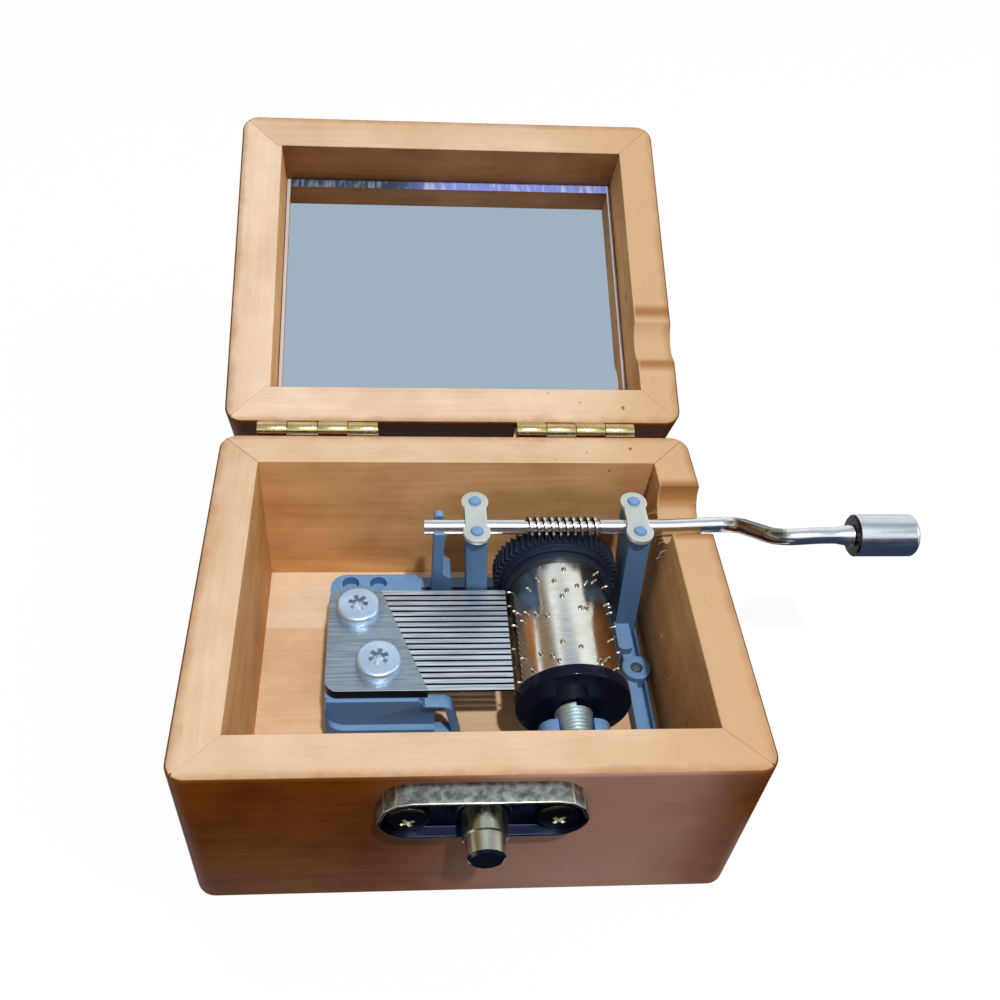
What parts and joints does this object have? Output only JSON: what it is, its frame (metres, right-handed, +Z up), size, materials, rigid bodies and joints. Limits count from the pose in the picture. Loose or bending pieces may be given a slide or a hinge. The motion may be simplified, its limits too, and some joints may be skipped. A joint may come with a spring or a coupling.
{
  "type": "hand-cranked comb music box",
  "caption": "Small wooden music box with a hinged mirror lid, a screwed-on catch and a pinned-drum comb movement turned by a bent crank through a worm and wheel.",
  "frame": {"origin": "centre of the case underside, on the surface the box stands on", "axes": "+Z up, -Y towards the catch on the front, +X towards the crank"},
  "size_m": [0.0865, 0.1147, 0.0481],
  "materials": {
    "wood": "satin varnish",
    "board": "satin varnish",
    "mirror_glass": "polished",
    "hinge_brass": "polished",
    "aged_brass": "aged, dark in the hollows",
    "frame_zinc": "satin blue-grey casting",
    "plate_steel": "satin",
    "comb_steel": "ground satin",
    "tooth_lead": "dull",
    "screw_steel": "pale zinc plate",
    "drum_nickel": "polished nickel",
    "black_plastic": "glossy",
    "arbor_steel": "satin",
    "crank_chrome": "polished",
    "knob_steel": "satin"
  },
  "bodies": {
    "base": {"base_front_board": "wood", "base_back_board": "wood", "base_left_board": "wood", "base_right_board": "wood", "base_floor_board": "board", "hinge_base_leaves": "hinge_brass", "hinge_pins": "hinge_brass", "base_hinge_nails": "hinge_brass", "catch_plate": "aged_brass", "catch_post": "aged_brass", "catch_screws": "aged_brass", "movement_frame": "frame_zinc", "case_screws": "screw_steel", "bearing_plates": "plate_steel", "comb": "comb_steel", "comb_weights": "tooth_lead", "comb_screws": "screw_steel", "arbor_spring": "arbor_steel"},
    "lid": {"lid_front_board": "wood", "lid_back_board": "wood", "lid_left_board": "wood", "lid_right_board": "wood", "lid_top_panel": "board", "lid_mirror": "mirror_glass", "hinge_lid_leaves": "hinge_brass", "lid_hinge_nails": "hinge_brass"},
    "crank": {"crank_rod": "crank_chrome"},
    "knob": {"crank_knob": "knob_steel"},
    "drum": {"drum_shell": "drum_nickel", "drum_pins": "drum_nickel", "worm_wheel": "black_plastic", "drum_end_cap": "black_plastic", "drum_arbor": "arbor_steel"}
  },
  "joints": [
    {"name": "lid_hinge", "type": "hinge", "parent": "base", "child": "lid", "pos_m": [0, 0.0273, 0.0267], "axis": [1, 0, 0], "range_deg": [-24.2, 155.8]},
    {"name": "crank_spin", "type": "hinge", "parent": "base", "child": "crank", "pos_m": [0, 0.0112, 0.0245], "axis": [1, 0, 0], "continuous": true},
    {"name": "knob_spin", "type": "hinge", "parent": "crank", "child": "knob", "pos_m": [0.0469, 0.00296, 0.03179], "axis": [1, 0, 0], "continuous": true},
    {"name": "drum_spin", "type": "hinge", "parent": "base", "child": "drum", "pos_m": [0.01315, 0, 0.0153], "axis": [0, 1, 0], "continuous": true}
  ],
  "couplings": [
    {"joint": "drum_spin", "follows": "crank_spin", "ratio": -0.018519}
  ]
}
